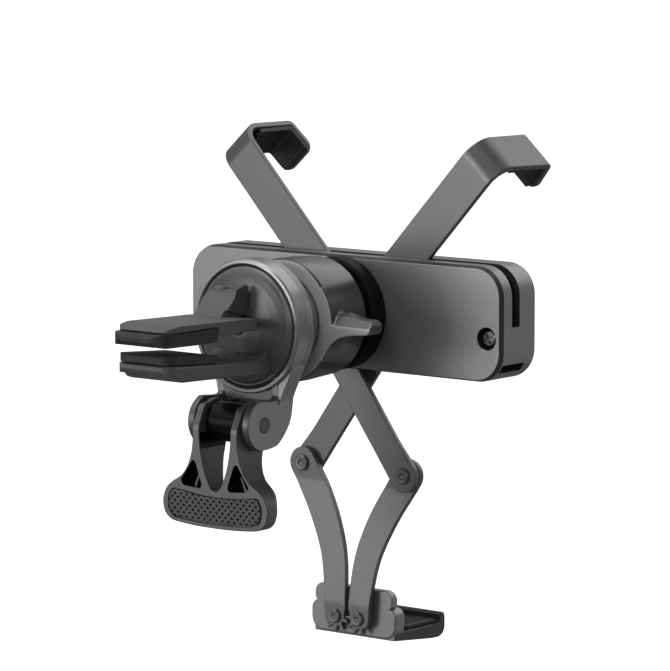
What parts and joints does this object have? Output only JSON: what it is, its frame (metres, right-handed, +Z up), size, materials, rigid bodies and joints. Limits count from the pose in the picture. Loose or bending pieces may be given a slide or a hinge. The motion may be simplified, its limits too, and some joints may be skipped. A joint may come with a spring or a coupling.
{
  "type": "gravity phone holder",
  "caption": "Car vent phone holder: a cam clamp and ball joint carry a flat case whose geared hooked levers close on a phone as its weight pulls down a linked foot.",
  "frame": {"origin": "middle of the lower clamp pad's top face, where the vent blade lies", "axes": "+Y towards the phone, +X to the right as seen from the vent side, +Z up"},
  "size_m": [0.097, 0.1053, 0.128],
  "materials": {
    "case_grey": "dark anodised, satin",
    "arm_metal": "dark grey, bead-blasted satin",
    "pin_steel": "plain",
    "black_rubber": "matt",
    "black_plastic": "matt",
    "head_grey": "dark grey, satin to gloss",
    "nut_grey": "grey satin"
  },
  "bodies": {
    "clamp": {"head_housing": "head_grey", "face_disc": "head_grey", "disc_screw": "pin_steel", "lower_jaw_pad": "black_rubber", "jaw_pin": "pin_steel", "lever_pin": "pin_steel"},
    "jaw": {"upper_jaw": "head_grey", "upper_jaw_pad": "black_rubber"},
    "lever": {"cam_lever": "nut_grey", "lever_grip": "black_plastic"},
    "rod": {"push_rod": "pin_steel"},
    "nut": {"wing_nut": "nut_grey"},
    "seat": {"ball_seat": "black_plastic"},
    "stud": {"ball_stud": "pin_steel"},
    "case": {"back_shell": "case_grey", "front_shell": "case_grey", "phone_pad": "black_rubber", "case_screw_left": "pin_steel", "case_screw_right": "pin_steel", "pivot_pin_left": "pin_steel", "pivot_pin_right": "pin_steel", "collar_ring": "head_grey"},
    "left_arm": {"arm_left": "arm_metal", "hook_pad_left": "black_rubber", "knee_rivet_right": "arm_metal"},
    "right_arm": {"arm_right": "arm_metal", "hook_pad_right": "black_rubber", "knee_rivet_left": "arm_metal"},
    "right_link": {"link_right": "arm_metal"},
    "left_link": {"link_left": "arm_metal", "foot_rivet_left": "arm_metal"},
    "foot": {"foot_bracket": "case_grey", "foot_pad": "black_rubber", "back_pad": "black_rubber", "foot_rivet_right": "arm_metal"}
  },
  "joints": [
    {"name": "jaw_hinge", "type": "hinge", "parent": "clamp", "child": "jaw", "pos_m": [0, 0.0232, 0.00973], "axis": [-1, 0, 0], "range_deg": [0, 12.5]},
    {"name": "lever_hinge", "type": "hinge", "parent": "clamp", "child": "lever", "pos_m": [0, 0.0244, -0.01897], "axis": [-1, 0, 0], "range_deg": [0, 80]},
    {"name": "rod_slide", "type": "slide", "parent": "clamp", "child": "rod", "axis": [0, 0, 1], "range_m": [-0.0027, 0]},
    {"name": "nut_turn", "type": "hinge", "parent": "clamp", "child": "nut", "pos_m": [0, 0.05, 0.00363], "axis": [0, 1, 0], "continuous": true},
    {"name": "ball_pan", "type": "hinge", "parent": "clamp", "child": "seat", "pos_m": [0, 0.052, 0.00363], "axis": [0, 0, 1], "range_deg": [-9, 9]},
    {"name": "ball_tilt", "type": "hinge", "parent": "seat", "child": "stud", "pos_m": [0, 0.052, 0.00363], "axis": [1, 0, 0], "range_deg": [-9, 9]},
    {"name": "case_roll", "type": "hinge", "parent": "stud", "child": "case", "pos_m": [0, 0.052, 0.00363], "axis": [0, 1, 0], "continuous": true},
    {"name": "left_arm_hinge", "type": "hinge", "parent": "case", "child": "left_arm", "pos_m": [-0.0085, 0.072, 0.00363], "axis": [0, -1, 0], "range_deg": [-4, 24]},
    {"name": "right_arm_hinge", "type": "hinge", "parent": "case", "child": "right_arm", "pos_m": [0.0085, 0.072, 0.00363], "axis": [0, 1, 0], "range_deg": [-4, 24]},
    {"name": "right_knee", "type": "hinge", "parent": "left_arm", "child": "right_link", "pos_m": [0.0166, 0.072, -0.03617], "axis": [0, -1, 0], "range_deg": [-49.5, 9]},
    {"name": "left_knee", "type": "hinge", "parent": "right_arm", "child": "left_link", "pos_m": [-0.0166, 0.072, -0.03617], "axis": [0, 1, 0], "range_deg": [-49.5, 9]},
    {"name": "foot_hinge", "type": "hinge", "parent": "right_link", "child": "foot", "pos_m": [0.0036, 0.072, -0.07317], "axis": [0, -1, 0], "range_deg": [-5, 25.5]}
  ],
  "couplings": [
    {"joint": "jaw_hinge", "follows": "lever_hinge", "ratio": 0.15},
    {"joint": "rod_slide", "follows": "lever_hinge", "m_per_rad": -0.00186},
    {"joint": "right_arm_hinge", "follows": "left_arm_hinge", "ratio": 1},
    {"joint": "right_knee", "follows": "left_arm_hinge", "ratio": -2.03},
    {"joint": "left_knee", "follows": "left_arm_hinge", "ratio": -2.03},
    {"joint": "foot_hinge", "follows": "left_arm_hinge", "ratio": 1.03}
  ]
}
